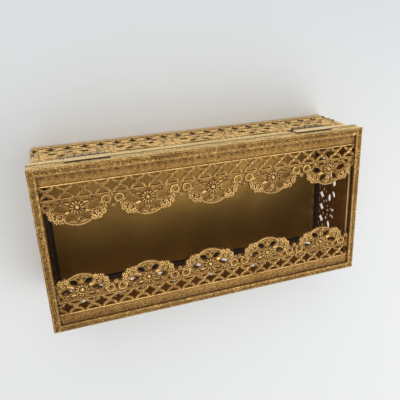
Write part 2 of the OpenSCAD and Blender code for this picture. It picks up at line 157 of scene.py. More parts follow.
class Relief:
    """Collects closed raised motifs, in mm: x along a band, y across it, z out of its sheet."""

    def __init__(self, seed, full):
        self.full = full  # the height that counts as 1 in the finishes
        self.points = []
        self.faces = []
        self.count = 0
        self.draw = random.Random(seed)

    def add(self, points, faces):
        self.points.append(np.asarray(points, float))
        self.faces += [tuple(i + self.count for i in face) for face in faces]
        self.count += len(points)

    def grid(self, surface, across, along):
        """A raised patch: rows of points whose outer edge lies in the sheet, closed below.

        A quad in a corner is split from the corner's own point, so that neither half of it lies on the
        closing face.
        """
        columns = along + 1
        faces = []
        corners = {(0, 0): 0, (0, along - 1): 1, (across - 1, along - 1): 2, (across - 1, 0): 3}
        for i in range(across):
            for j in range(along):
                a = i * columns + j
                quad = (a, a + 1, a + columns + 1, a + columns)
                first = corners.get((i, j))
                if first is None:
                    faces.append(quad)
                else:
                    fan = quad[first:] + quad[:first]
                    faces += [fan[:3], (fan[0], fan[2], fan[3])]
        last = across * columns
        edge = list(range(columns))
        edge += [i * columns + along for i in range(1, across + 1)]
        edge += [last + j for j in range(along - 1, -1, -1)]
        edge += [i * columns for i in range(across - 1, 0, -1)]
        self.add(surface, faces + [tuple(edge[::-1])])

    def dome(self, x, y, length, width, height, turn=0.0, rings=3, sides=10):
        """Half an egg lying on the sheet."""
        points = []
        for ring in range(rings):
            lift = math.pi / 2 * ring / rings
            for side in range(sides):
                angle = 2 * math.pi * side / sides
                px = length / 2 * math.cos(lift) * math.cos(angle)
                py = width / 2 * math.cos(lift) * math.sin(angle)
                points.append((px, py, (height + SINK) * math.sin(lift) - SINK))
        points.append((0, 0, height))
        faces = [tuple(range(sides))[::-1]]
        for ring in range(rings - 1):
            for side in range(sides):
                a, b = ring * sides + side, ring * sides + (side + 1) % sides
                faces.append((a, b, b + sides, a + sides))
        top = (rings - 1) * sides
        faces += [(top + side, top + (side + 1) % sides, rings * sides) for side in range(sides)]
        self.add(self.placed(points, x, y, turn), faces)

    @staticmethod
    def placed(points, x, y, turn):
        """Points turned about the origin by an angle in degrees, then moved."""
        px, py, pz = np.asarray(points, float).T
        c, s = heading(turn)
        return np.stack([x + px * c - py * s, y + px * s + py * c, pz], 1)

    def leaf(self, x, y, length, width, height, turn=0.0, curl=0.0, teeth=0):
        """A pointed leaf from its root at x, y, with a raised rib, and a bent tip or toothed edges."""
        along, across = 10 if teeth else 8, 6
        points = []
        for i in range(across + 1):
            side = 2 * i / across - 1
            for j in range(along + 1):
                t = j / along
                spread = math.sin(math.pi * min(1, 0.08 + 0.92 * t)) ** 0.75 + 0.03
                if teeth:
                    spread *= 1 - 0.22 * abs(math.sin(math.pi * teeth * t))
                half = width / 2 * spread
                edge = abs(side) == 1 or j in (0, along)
                crown = (1 - side * side) ** 0.6 * (1 - 0.25 * t)
                ridge = 0.25 * math.exp(-((side / 0.22) ** 2))
                furrow = 0.18 * math.exp(-(((abs(side) - 0.45) / 0.2) ** 2))
                rib = ridge - furrow
                bend = curl * t * t
                lift = -SINK if edge else height * max(0.1, crown + rib) / 1.2
                points.append((length * t, half * side + bend, lift))
        self.grid(self.placed(points, x, y, turn), across, along)

    def cord(self, path, radius, height, taper=1.0, sides=6):
        """A half-sunk wire along points on the sheet, which tapers to a share of its radius."""
        path = np.asarray(path, float)
        step = np.gradient(path, axis=0)
        step /= np.linalg.norm(step, axis=1)[:, None] + 1e-12
        normal = np.stack([-step[:, 1], step[:, 0]], 1)
        points, faces = [], []
        count = len(path)
        for i in range(count):
            share = i / (count - 1)
            wide = radius + (radius * taper - radius) * share
            tall = height * wide / radius
            for side in range(sides + 1):
                angle = math.pi * side / sides
                offset = wide * math.cos(angle)
                lift = tall * math.sin(angle)
                px, py = path[i] + normal[i] * offset
                points.append((px, py, lift if 0 < side < sides else -SINK))
        ring = sides + 1
        for i in range(count - 1):
            for side in range(sides):
                a = i * ring + side
                faces.append((a, a + ring, a + ring + 1, a + 1))
            faces.append((i * ring + sides, (i + 1) * ring + sides, (i + 1) * ring, i * ring))
        faces.append(tuple(range(ring)))
        faces.append(tuple(range((count - 1) * ring, count * ring))[::-1])
        self.add(points, faces)

    def arc(self, x, y, radius, start, stop, thickness, height, pieces):
        """A wire along part of a circle, angles in degrees."""
        angles = np.radians(np.linspace(start, stop, pieces + 1))
        self.cord(around(x, y, radius, angles), thickness, height)

    def scroll(self, x, y, radius, start, turns, thickness, height, hand, wind):
        """A spiral wire that winds in by a share of its radius and ends in a small ball."""
        share = np.linspace(0, 1, 23)
        angles = math.radians(start) + hand * 2 * math.pi * turns * share
        path = around(x, y, radius * (1 - wind * share**1.4), angles)
        self.cord(path, thickness, height, 0.6)
        self.dome(path[-1][0], path[-1][1], thickness * 2.1, thickness * 2.1, height)

    def daisy(self, x, y, height):
        """The large open flower: a ring of twelve round-tipped petals about a beaded boss."""
        for turn in range(0, 360, 30):
            c, s = heading(turn)
            self.dome(x + 3.1 * c, y + 3.1 * s, 2.6, 1.2, height * 0.62, turn, 3, 8)
            self.dome(x + 4.2 * c, y + 4.2 * s, 1.9, 1.75, height * 0.9, turn, 3, 8)
        self.dome(x, y, 4.0, 4.0, height * 0.92, rings=4, sides=14)
        for i in range(7):
            c, s = math.cos(2 * math.pi * i / 7), math.sin(2 * math.pi * i / 7)
            self.dome(x + 1.2 * c, y + 1.2 * s, 0.9, 0.9, height, 0, 2, 6)
        self.dome(x, y, 1.3, 1.3, height * 1.15, 0, 3, 8)

    def floret(self, x, y, radius, height, petals):
        """A small garland flower: round petals about a round eye."""
        first = self.draw.uniform(0, 360 / petals)
        for i in range(petals):
            turn = first + 360 * i / petals
            c, s = heading(turn)
            tall = height * self.draw.uniform(0.68, 0.92)
            mid = 0.56 * radius
            self.dome(x + mid * c, y + mid * s, radius * 0.98, radius * 0.86, tall, turn, 3, 9)
        self.dome(x, y, radius * 0.62, radius * 0.62, height * 1.08, 0, 3, 9)

    def beads(self, x0, x1, y, radius, pitch, height):
        count = max(1, round((x1 - x0) / pitch))
        for i in range(count):
            self.dome(x0 + (i + 0.5) * (x1 - x0) / count, y, radius * 2, radius * 2, height, 0, 2, 7)

    def make(self, name, origin, along, across, out):
        """One mesh object in metres, laid out from the origin, that keeps how high each point rises."""
        points = np.concatenate(self.points)
        placed = np.array(origin) + points * MM @ np.array([along, across, out])
        mesh = bpy.data.meshes.new(name)
        mesh.from_pydata(placed.tolist(), [], self.faces)
        rise = mesh.attributes.new("rise", "FLOAT", "POINT")
        rise.data.foreach_set("value", np.clip(points[:, 2] / self.full, 0, 1).astype("float32"))
        mesh.validate()
        mesh.polygons.foreach_set("use_smooth", [True] * len(mesh.polygons))
        mesh.set_sharp_from_angle(angle=SHARP)
        return add_object(name, mesh)


# In these tables a place is across from the middle of a lobe, or of a valley for its own leaves, and up
# from the lobes' foot. Lengths are in mm, turns in degrees, and heights shares of the relief's full height.

# Place, radius and height of each small flower on a lobe's shoulder
GARLAND = (
    (10.6, 15.7, 2.4, 0.86),
    (14.5, 15.2, 2.5, 0.95),
    (17.5, 12.3, 2.4, 0.9),
    (18.5, 8.7, 2.0, 0.85),
    (12.9, 12.0, 1.9, 0.75),
    (16.1, 9.3, 1.6, 0.7),
    (9.4, 12.9, 1.5, 0.62),
    (17.3, 5.9, 1.5, 0.66),
)
# Place and size of each berry between them
BERRIES = ((12.5, 17.2, 1.5), (16.4, 14.9, 1.5), (19.0, 10.6, 1.4), (14.4, 12.9, 1.2))
# Place of the middle, length, width and turn of each opening in half a lobe
OPENINGS = (
    (5.2, 13.6, 6.6, 4.2, 38),
    (11.1, 7.0, 8.6, 4.6, -12),
    (6.6, 1.9, 5.2, 1.7, 0),
    (16.2, 2.3, 4.8, 2.4, 20),
    (20.4, 4.3, 2.2, 2.2, 0),
    (24.6, 4.6, 1.7, 5.0, 0),
)
# Place of the root, length, width, height, turn, curl and teeth of each leaf
LOBE_LEAVES = (
    (4.6, 9.6, 5.6, 2.9, 0.9, 14, 0.5, 3),
    (7.4, 11.4, 4.2, 2.0, 0.62, 2, -0.5, 3),
    (3.8, 4.0, 5.4, 2.0, 0.75, -6, -0.5, 3),
    (8.8, 3.4, 4.2, 1.4, 0.55, 4, 0.3, 2),
    (11.2, 0.4, 4.0, 2.0, 0.66, 66, -0.4),
    (10.2, 0.3, 3.0, 1.6, 0.5, 112, 0.3),
    (14.4, 4.3, 4.8, 2.0, 0.7, 50, 0.3),
    (8.1, 15.9, 2.6, 1.6, 0.6, 20),
)
BUD = (0, 11.4, 6.6, 3.0, 0.9, 90)
BUD_LEAVES = (
    (0.5, 11.6, 5.2, 1.9, 0.72, 68, -0.3),
    (0.2, 16.2, 4.4, 1.7, 0.62, 44, -0.5),
    (0.3, 17.4, 6.4, 1.3, 0.5, 4, -0.8),
    (0.2, 0.3, 3.0, 1.3, 0.45, 52),
)
FOOT_LEAF = (0, 0.2, 2.4, 1.2, 0.5, 90)
VALLEY_LEAVES = ((0.9, 6.9, 3.2, 1.3, 0.55, 16, 0.2), (1.1, 0.3, 3.4, 1.3, 0.5, 28))
SHOULDER_LEAF = (-8.4, 20.8, 7.4, 2.9, 0.7, -62, 0.4, 3)  # from a valley over a lobe, on a wall

DAISY_UP = 7.0  # from a lobe's foot to the middle of its daisy
RIM_RADIUS = 14.6  # of the roped arc along a lobe's top
RIM_DOWN = 15.5  # from a lobe's top to the middle of that arc
SCROLL_OFF = 4.3  # from a valley's middle and foot to the middle of each scroll
SCROLL_RADIUS = 3.5
PALMETTE_UP = 14.6  # from a wall's lobes' foot to the middle of the palmette over a valley


class Band:
    """The raised work of one filigree band, laid out on the openings that the band has."""

    def __init__(self, sizes, length, bare_ends, straight, shift, tall, seed):
        self.relief = Relief(seed, tall / MM)
        self.length = length
        self.x0, self.x1 = bare_ends - length / 2, length / 2 - bare_ends
        self.straight = straight
        self.shift = shift
        self.border = sizes.border / MM
        self.lattice = sizes.lattice / MM
        self.cell = sizes.cell / MM
        self.pitch = 4 * self.cell
        self.foot = self.border + self.lattice + sizes.bar / MM
        self.bar_middle = self.foot - sizes.bar / MM / 2
        self.lobe = sizes.band / MM - self.foot
        self.top_bar = (sizes.wall_band - sizes.top_bar / 2) / MM
        self.tall = tall / MM
        eye_w, eye_h = sizes.eye_width / MM, sizes.eye_height / MM
        eye_radius = (eye_w * eye_w / 4 + eye_h * eye_h) / (2 * eye_h)
        self.rib = sizes.rib / MM
        self.rib_radius = eye_radius + self.rib / 2
        self.rib_middle = self.lattice / 2 + eye_radius - eye_h

    def shown(self, x, reach):
        """Whether a motif of a given reach lies on the part of the band that shows."""
        return self.x0 <= x - reach and x + reach <= self.x1

    def middles(self, step, offset=0.0):
        """Every place along the band with a given step, from the pattern's middle."""
        count = int(self.length / step) + 2
        return [self.shift + offset + i * step for i in range(-count, count + 1)]

    def draw(self):
        self.draw_border()
        self.draw_lattice()
        for x in self.middles(self.pitch):
            self.draw_flower(x)
            for hand in (1, -1):
                self.draw_half_lobe(x, hand)
            self.draw_rim(x)
            self.fill(x)
        for x in self.middles(self.pitch, self.pitch / 2):
            self.draw_valley(x)
        if self.straight:
            self.relief.beads(self.x0, self.x1, self.top_bar, 0.5, 1.3, 0.5)
        return self.relief

    def arc(self, x, y, radius, start, stop, thickness, height, pieces):
        """An arc of wire, cut where the band ends."""
        right = math.degrees(math.acos(max(-1, min(1, (self.x1 - x) / radius))))
        left = math.degrees(math.acos(max(-1, min(1, (self.x0 - x) / radius))))
        low, high = max(min(start, stop), right), min(max(start, stop), left)
        if high - low > 8:
            self.relief.arc(x, y, radius, low, high, thickness, self.tall * height, pieces)

    # Motifs are placed from a lobe's middle; a hand of 1 or -1 mirrors them about it.

    def leaf(self, x, hand, dx, dy, length, width, height, turn, curl=0.0, teeth=0):
        run = length * heading(turn)[0]
        if self.shown(x + hand * (dx + run / 2), abs(run) / 2):
            turn = turn if hand > 0 else 180 - turn
            root, height = (x + hand * dx, self.foot + dy), self.tall * height
            self.relief.leaf(*root, length, width, height, turn, curl * hand, teeth)

    def floret(self, x, hand, dx, dy, radius, height, petals=5):
        if self.shown(x + hand * dx, radius):
            self.relief.floret(x + hand * dx, self.foot + dy, radius, self.tall * height, petals)

    def knob(self, x, hand, dx, dy, size, height):
        if self.shown(x + hand * dx, size / 2):
            self.relief.dome(x + hand * dx, self.foot + dy, size, size, self.tall * height, 0, 2, 8)

    def draw_border(self):
        """Chased border: swags over small palmettes, between fine lines."""
        relief, top, tall = self.relief, self.border, self.tall
        for y, radius, height in ((top - 0.6, 0.52, 0.44), (top - 1.7, 0.25, 0.12), (0.7, 0.35, 0.22)):
            relief.cord([(self.x0, y), (self.x1, y)], radius, height * tall)
        middle, step = 1.9, self.pitch / 5
        for x in self.middles(step):
            if not self.shown(x, -step / 2):
                continue
            self.arc(x, middle - 0.4, 3.8, 12, 168, 0.42, 0.2, 12)
            self.arc(x, middle - 0.4, 2.5, 10, 170, 0.3, 0.15, 10)
            if self.shown(x, 2):
                for turn in (35, 90, 145):
                    relief.leaf(x, middle - 0.5, 2.0, 0.95, 0.3 * tall, turn)
            between = x + step / 2
            if self.shown(between, 2):
                relief.leaf(between, middle + 0.9, 3.0, 1.5, 0.34 * tall, 90)
                for turn in (38, 142):
                    relief.leaf(between, middle + 0.6, 2.2, 0.9, 0.26 * tall, turn)
                relief.dome(between, middle - 0.4, 1.5, 1.3, 0.34 * tall, 0, 2, 7)
        for x in self.middles(self.cell / 8):
            if self.shown(x, 0.6):
                relief.dome(x, top - 1.0, 0.9, 0.6, 0.2 * tall, 0, 2, 6)
        for x in self.middles(1.3):
            if self.shown(x, 0.6):
                y = relief.draw.uniform(1.2, top - 1.6)
                relief.dome(x, y, 0.9, 0.8, 0.16 * tall, 0, 2, 6)

    def draw_lattice(self):
        """Roped ribs that follow the openings, a four-leaved stud on each crossing, a beaded bar."""
        relief, half, tall = self.relief, self.lattice / 2, self.tall
        middle = self.border + half
        lift = math.degrees(math.asin((self.rib_middle - half) / self.rib_radius))
        reach = self.rib_radius * heading(lift)[0]
        for x in self.middles(self.cell, self.cell / 2):
            start = lift if self.shown(x + reach / 2, reach / 2) else 90
            stop = 180 - lift if self.shown(x - reach / 2, reach / 2) else 90
            if start == stop:
                continue
            for side in (1, -1):
                y = middle - side * self.rib_middle
                ends = side * start, side * stop
                relief.arc(x, y, self.rib_radius, *ends, self.rib / 2 - 0.1, 0.24 * tall, 14)
                for k in range(1, 10):
                    turn = side * (start + (stop - start) * k / 10)
                    c, s = heading(turn)
                    bx, by = x + self.rib_radius * c, y + self.rib_radius * s
                    relief.dome(bx, by, 1.5, 0.9, 0.6 * tall, turn + 24, 2, 6)
            if self.shown(x, 2):
                for turn in (45, 135, 225, 315):
                    relief.leaf(x, middle, 3.1, 2.2, 0.85 * tall, turn)
                for turn in (0, 90, 180, 270):
                    relief.leaf(x, middle, 2.4, 1.3, 0.55 * tall, turn)
                relief.dome(x, middle, 1.5, 1.5, 0.98 * tall, 0, 3, 8)
        relief.beads(self.x0, self.x1, self.bar_middle, 0.62, 1.45, 0.5 * tall)

    def draw_flower(self, x):
        """The daisy, the bud over it and the small palmette under it."""
        if self.shown(x, 5):
            self.relief.daisy(x, self.foot + DAISY_UP, self.tall)
        self.leaf(x, 1, *BUD)
        for hand in (1, -1):
            for leaf in BUD_LEAVES:
                self.leaf(x, hand, *leaf)
        self.leaf(x, 1, *FOOT_LEAF)

    def draw_rim(self, x):
        """The roped double arc along the top of a lobe."""
        y = self.foot + self.lobe - RIM_DOWN
        self.arc(x, y, RIM_RADIUS, 52, 128, 0.72, 0.5, 16)
        self.arc(x, y, 13.2, 58, 122, 0.36, 0.4, 14)
        for turn in range(54, 128, 4):
            c, s = heading(turn)
            bx, by = x + RIM_RADIUS * c, y + RIM_RADIUS * s
            if self.shown(bx, 0.8):
                self.relief.dome(bx, by, 1.5, 0.8, self.tall * 0.68, turn + 30, 2, 6)

    def draw_half_lobe(self, x, hand):
        """Leaves between the openings, and the garland along the lobe's shoulder."""
        for leaf in LOBE_LEAVES:
            self.leaf(x, hand, *leaf)
        for dx, dy, radius, height in GARLAND:
            self.floret(x, hand, dx, dy, radius, height, 6 if radius > 2 else 5)
        for dx, dy, size in BERRIES:
            self.knob(x, hand, dx, dy, size, 0.75)

    def fill(self, x):
        """Small beads over the metal that the larger motifs leave bare, as on a chased ground."""
        step, draw = 1.15, self.relief.draw
        for row in range(int(self.lobe / step)):
            for column in range(int(self.pitch / step)):
                dx = (column + draw.uniform(0.1, 0.9)) * step - self.pitch / 2
                dy = (row + draw.uniform(0.1, 0.9)) * step
                if self.shown(x + dx, 0.8) and self.on_metal(abs(dx), dy):
                    size = draw.uniform(0.75, 1.25)
                    height = self.tall * draw.uniform(0.14, 0.4)
                    turn = draw.uniform(0, 180)
                    self.relief.dome(x + dx, self.foot + dy, size, size * 0.85, height, turn, 2, 6)

    def on_metal(self, dx, dy):
        """Whether a point of a lobe, from its middle, is clear of the lobe's edge and its openings."""
        for mx, my, length, width, turn in OPENINGS:
            c, s = heading(turn)
            along, across = (dx - mx) * c + (dy - my) * s, (dy - my) * c - (dx - mx) * s
            if (along / (length / 2 + 0.6)) ** 2 + (across / (width / 2 + 0.6)) ** 2 < 1:
                return False
        if dy < 0.6:
            return False
        if self.straight:
            return dy < self.lobe - 1
        if math.hypot(dx, dy - self.lobe + RIM_DOWN) < RIM_RADIUS - 0.2 and dx < 11:
            return True
        if any(math.hypot(dx - gx, dy - gy) < radius for gx, gy, radius, _ in GARLAND):
            return True
        in_scrolls = math.hypot(dx - self.pitch / 2, dy - SCROLL_OFF) < 5.5 and dy < 8
        return dy < 8.5 and dx < 19 or in_scrolls

    def draw_valley(self, x):
        """Facing scrolls between two lobes, under a flower; on a wall, a palmette over them."""
        for hand in (1, -1):
            if self.shown(x - hand * SCROLL_OFF, SCROLL_RADIUS):
                middle = x - hand * SCROLL_OFF, self.foot + SCROLL_OFF
                start = 140 if hand > 0 else 40
                height = 0.56 * self.tall
                self.relief.scroll(*middle, SCROLL_RADIUS, start, 1.05, 0.62, height, hand, 0.5)
            for leaf in VALLEY_LEAVES:
                self.leaf(x, hand, *leaf)
        self.floret(x, 1, 0, 8.7, 1.8, 0.82)
        if self.straight:
            self.leaf(x, 1, 0, 10.6, 4.6, 1.9, 0.6, 90)
            for turn in (90, 62, 118, 34, 146, 6, 174):
                self.leaf(x, 1, 0, PALMETTE_UP, 6.2 - abs(turn - 90) * 0.022, 2.1, 0.75, turn)
            self.knob(x, 1, 0, PALMETTE_UP, 2.2, 0.8)
            for hand in (1, -1):
                self.leaf(x, hand, *SHOULDER_LEAF)


# Turn, and length and width as shares of half the panel's height, of each leaf about a flower of the vine
VINE_LEAVES = ((20, 1.0, 0.36), (160, 1.0, 0.36), (-35, 0.66, 0.28), (215, 0.66, 0.28))


def rail_relief(sizes, length, height, seed):
    """Chased work in the sunk panels of one lid rail: laurel on its top, a running vine on its skirt.

    The top is laid out with y inwards from the rail's outer face, the skirt with y upwards.
    """
    inset, tall = sizes.panel_inset / MM, sizes.panel_depth / MM - 0.02
    top, skirt = Relief(seed, tall), Relief(seed + 1, tall)
    middle = sizes.rail / MM / 2
    reach = length / 2 - middle
    count = round(2 * reach / 2.6)
    for i in range(count):
        x = (i + 0.5) * 2 * reach / count - reach
        for side in (1, -1):
            top.leaf(x - 1.2, middle + 0.1 * side, 2.3, 0.95, tall, side * 24)
        top.dome(x + 1.15, middle, 0.55, 0.55, tall, 0, 2, 6)
    middle, half = height / 2, height / 2 - inset
    span = length - 2 * inset - 4
    waves = max(2, round(span / 26))
    share = np.linspace(-0.5, 0.5, waves * 16 + 1)
    path = np.stack([share * span, middle + 0.42 * half * np.sin(2 * math.pi * waves * share)], 1)
    skirt.cord(path, 0.45, tall, sides=4)
    for i in range(2 * waves):
        x = (i + 0.5 - waves) * span / waves / 2
        side = 1 if (i + waves) % 2 == 0 else -1
        skirt.floret(x, middle - side * 0.3 * half, 0.34 * half, tall * 0.9, 6)
        root = x, middle + side * 0.42 * half
        for turn, long, wide in VINE_LEAVES:
            skirt.leaf(*root, long * half, wide * half, tall, side * turn, 0, 3)
    for y in (inset + 0.6, height - inset - 0.6):
        skirt.beads(inset + 1 - length / 2, length / 2 - inset - 1, y, 0.45, 1.4, tall)
    return top, skirt


# -------------------- finishes


def new_material(name):
    material = bpy.data.materials.new(name)
    material.use_nodes = True
    tree = material.node_tree
    tree.nodes.clear()
    out = tree.nodes.new("ShaderNodeOutputMaterial")
    shader = tree.nodes.new("ShaderNodeBsdfPrincipled")
    tree.links.new(shader.outputs["BSDF"], out.inputs["Surface"])
    return material, tree, shader


def put(tree, socket, value):
    """Gives a socket another node's output, a number or a colour."""
    if isinstance(value, NodeSocket):
        tree.links.new(value, socket)
    elif socket.type == "RGBA":
        socket.default_value = (*value, 1)
    else:
        socket.default_value = value


def feed(tree, made, **inputs):
    """Sets a node's inputs by their names, with _ for a space."""
    for name, value in inputs.items():
        put(tree, made.inputs[name.replace("_", " ")], value)
    return made


def node(tree, kind, settings=None, **inputs):
    """Adds a node; settings are its own fields."""
    made = tree.nodes.new(kind)
    for field, value in (settings or {}).items():
        setattr(made, field, value)
    return feed(tree, made, **inputs)


def place(tree, kind="Object"):
    return node(tree, "ShaderNodeTexCoord").outputs[kind]


def scaled(colour, share):
    """A colour made darker or brighter."""
    return tuple(min(1, c * share) for c in colour)


def noise(tree, scale, detail, roughness=0.6, vector=None):
    """Mottling around a half; the scale is in patches to a metre."""
    vector = vector or place(tree)
    made = node(tree, "ShaderNodeTexNoise", Vector=vector, Scale=scale, Detail=detail, Roughness=roughness)
    return made.outputs[0]


def ramp(tree, value, low, high, to_low=0.0, to_high=1.0):
    """What a value becomes as it goes from low to high, smoothly and no further."""
    made = node(tree, "ShaderNodeMapRange", {"interpolation_type": "SMOOTHSTEP"}, Value=value)
    return feed(tree, made, From_Min=low, From_Max=high, To_Min=to_low, To_Max=to_high).outputs[0]


def operated(tree, kind, operation, a, b):
    made = node(tree, kind, {"operation": operation})
    put(tree, made.inputs[0], a)
    put(tree, made.inputs[1], b)
    return made


def maths(tree, operation, a, b):
    return operated(tree, "ShaderNodeMath", operation, a, b).outputs[0]


def times(tree, a, b):
    return maths(tree, "MULTIPLY", a, b)


def mixed(tree, factor, a, b):
    """One colour where the factor is 0, and another where it is 1."""
    made = node(tree, "ShaderNodeMix", {"data_type": "RGBA"})
    for index, value in ((0, factor), (6, a), (7, b)):
        put(tree, made.inputs[index], value)
    return made.outputs[2]


def bumped(tree, shader, height, depth, strength):
    made = node(tree, "ShaderNodeBump", Height=height, Distance=depth, Strength=strength)
    feed(tree, shader, Normal=made.outputs[0])


def crevice(tree, reach):
    """1 in the open and 0 deep in a corner of the metal; the finishes darken these corners with patina and
    painted shade.
    """
    made = node(tree, "ShaderNodeAmbientOcclusion", {"samples": 8}, Distance=reach)
    return made.outputs["AO"]


def risen(tree):
    """How high a point of the raised work stands, 0 on the sheets themselves."""
    return node(tree, "ShaderNodeAttribute", {"attribute_name": "rise"}).outputs["Fac"]


def axis_of(tree, vector, axis):
    return node(tree, "ShaderNodeSeparateXYZ", Vector=vector).outputs[axis]


def upward(tree):
    """How far a face looks up: 1 if it is level, 0 if upright, less than 0 if it looks down."""
    return axis_of(tree, place(tree, "Normal"), 2)


def off_work(tree, amount):
    """An amount on the sheets and rails themselves, and 0 on the raised work."""
    return ramp(tree, risen(tree), 0.0, 0.05, amount, 0.0)


def inward(tree):
    """1 on the faces of the sheets and rails that look into the box, where the finishes paint shade, 0 on
    their outsides.
    """
    from_heart = operated(tree, "ShaderNodeVectorMath", "SUBTRACT", place(tree), HEART)
    offset, normal = from_heart.outputs["Vector"], place(tree, "Normal")
    facing = operated(tree, "ShaderNodeVectorMath", "DOT_PRODUCT", offset, normal)
    turned = ramp(tree, facing.outputs["Value"], -0.022, -0.004, 1.0, 0.0)
    return times(tree, turned, off_work(tree, 1.0))


def aged_gilt(name, ground, bright, colours, rust=0.3, stipple=1.0, reach=0.0025, wear=0.55):
    """Worn plating: bright where the work stands high, brown patina deepened by painted shade in the
    recesses, reddish in patches, duller and with painted shade on the faces inside the box.
    """
    material, tree, shader = new_material(name)
    hollow = ramp(tree, crevice(tree, reach), 0.35, 0.97)
    high = ramp(tree, risen(tree), 0.02, 0.45)
    cloud = noise(tree, 38.0, 5.0, 0.62)
    speck = noise(tree, 800.0, 3.0, 0.7)
    spots = noise(tree, 190.0, 6.0, 0.7)
    glint = ramp(tree, noise(tree, 520.0, 4.0, 0.75), 0.53, 0.68, 0.0, wear)
    patina_and_shade, inside = colours.patina_and_shade, colours.inside
    base = mixed(tree, maths(tree, "MAXIMUM", high, glint), ground, bright)
    base = mixed(tree, times(tree, ramp(tree, cloud, 0.48, 0.70), rust), base, colours.rust)
    base = mixed(tree, ramp(tree, spots, 0.50, 0.70, 0.0, wear), base, scaled(ground, 0.35))
    base = mixed(tree, ramp(tree, speck, 0.52, 0.68, 0.0, wear), base, patina_and_shade)
    # Patina in the recesses, darkened further by the occlusion as painted shade.
    base = mixed(tree, hollow, patina_and_shade, base)
    # The faces inside the box get a duller tone and painted shade.
    inner = inward(tree)
    dull_and_shaded = mixed(tree, ramp(tree, cloud, 0.36, 0.66), scaled(inside, 1.25), inside)
    dull_and_shaded = mixed(tree, ramp(tree, spots, 0.48, 0.66, 0.0, 0.7), dull_and_shaded, scaled(inside, 0.45))
    base = mixed(tree, inner, base, dull_and_shaded)
    matt = ramp(tree, high, 0.0, 1.0, 0.14, 0.0)
    rough = maths(tree, "ADD", ramp(tree, cloud, 0.3, 0.7, 0.28, 0.42), matt)
    metal = ramp(tree, hollow, 0.0, 1.0, 0.5, 0.97)
    metal = times(tree, metal, ramp(tree, inner, 0.0, 1.0, 1.0, 0.45))
    feed(tree, shader, Base_Color=base, Roughness=rough, Metallic=metal)
    if stipple:
        coarse = times(tree, noise(tree, 420.0, 3.0), 1.2)
        grain = maths(tree, "ADD", noise(tree, 1400.0, 2.0, 0.5), coarse)
        bumped(tree, shader, grain, 0.0003 * stipple, 0.85)
    return material


def shader_of(tree):
    return next(n for n in tree.nodes if n.type == "BSDF_PRINCIPLED")


def tinted(tree, factor, colour):
    """Mixes one more colour into a finish, over everything in it so far."""
    shader = shader_of(tree)
    so_far = shader.inputs["Base Color"].links[0].from_socket
    feed(tree, shader, Base_Color=mixed(tree, factor, so_far, colour))


def engraved_gilt(name, colours, rust):
    """The lid's frame: darker chased panels on top between worn edges, paler on the skirt."""
    rail = colours.rail
    material = aged_gilt(name, rail, scaled(rail, 1.35), colours, rust, 0, 0.0012, 0.7)
    tree = material.node_tree
    cells = node(tree, "ShaderNodeTexVoronoi", Vector=place(tree), Scale=560.0, Randomness=0.9)
    dots = ramp(tree, cells.outputs["Distance"], 0.15, 0.55)
    swirl = node(tree, "ShaderNodeTexNoise", Vector=place(tree), Scale=300.0, Detail=2.0, Distortion=2.2)
    strokes = ramp(tree, swirl.outputs[0], 0.44, 0.56)
    chased = maths(tree, "ADD", times(tree, dots, 0.5), strokes)
    bumped(tree, shader_of(tree), chased, 0.00045, 0.9)
    between = maths(tree, "SUBTRACT", 1.0, strokes)
    tinted(tree, times(tree, between, 0.5), colours.patina_and_shade)
    height = axis_of(tree, place(tree), 2)
    edge = times(tree, ramp(tree, height, LID_TOP - 2 * ON_TOP, LID_TOP - ON_TOP), off_work(tree, 0.14))
    tinted(tree, edge, colours.gilt)
    up = upward(tree)
    side = times(tree, ramp(tree, up, 0.3, 0.6, 1.0, 0.0), ramp(tree, up, -0.6, -0.3))
    outside = times(tree, side, maths(tree, "SUBTRACT", 1.0, inward(tree)))
    paler = times(tree, outside, ramp(tree, strokes, 0.0, 1.0, 0.6, 0.9))
    tinted(tree, paler, colours.rim)
    return material


TOP_HIGHLIGHT = (1.0, 0.72, 0.30)  # colour of the rim's top, painted on as a highlight


def rim_gilt(name, colours):
    """Smooth pale plating, with a painted highlight and made matt along the top that the lid shuts on."""
    pale = colours.rim
    material = aged_gilt(name, pale, pale, colours, 0.12, 0.4, 0.0012, 0.3)
    tree = material.node_tree
    # A painted highlight along the rim's top, where it faces up.
    top = ramp(tree, axis_of(tree, place(tree), 2), RIM_TOP - 0.0010, RIM_TOP - 0.0006)
    top = times(tree, top, ramp(tree, upward(tree), 0.2, 0.6))
    tinted(tree, times(tree, top, 0.9), TOP_HIGHLIGHT)
    shader = shader_of(tree)
    so_far = shader.inputs["Metallic"].links[0].from_socket
    feed(tree, shader, Metallic=times(tree, so_far, ramp(tree, top, 0.0, 1.0, 1.0, 0.2)))
    return material


def wall_gilt(name, colours):
    """Paler plating, with painted shade on the edges of the openings that face up."""
    material = aged_gilt(name, colours.wall, colours.gilt, colours, 0.1, 0.8, 0.0018)
    tree = material.node_tree
    # Painted shade: the edges of the openings that face up are darkened, so the openings read dark.
    painted_shade = times(tree, ramp(tree, upward(tree), 0.3, 0.6), off_work(tree, 0.8))
    tinted(tree, painted_shade, colours.patina_and_shade)
    return material


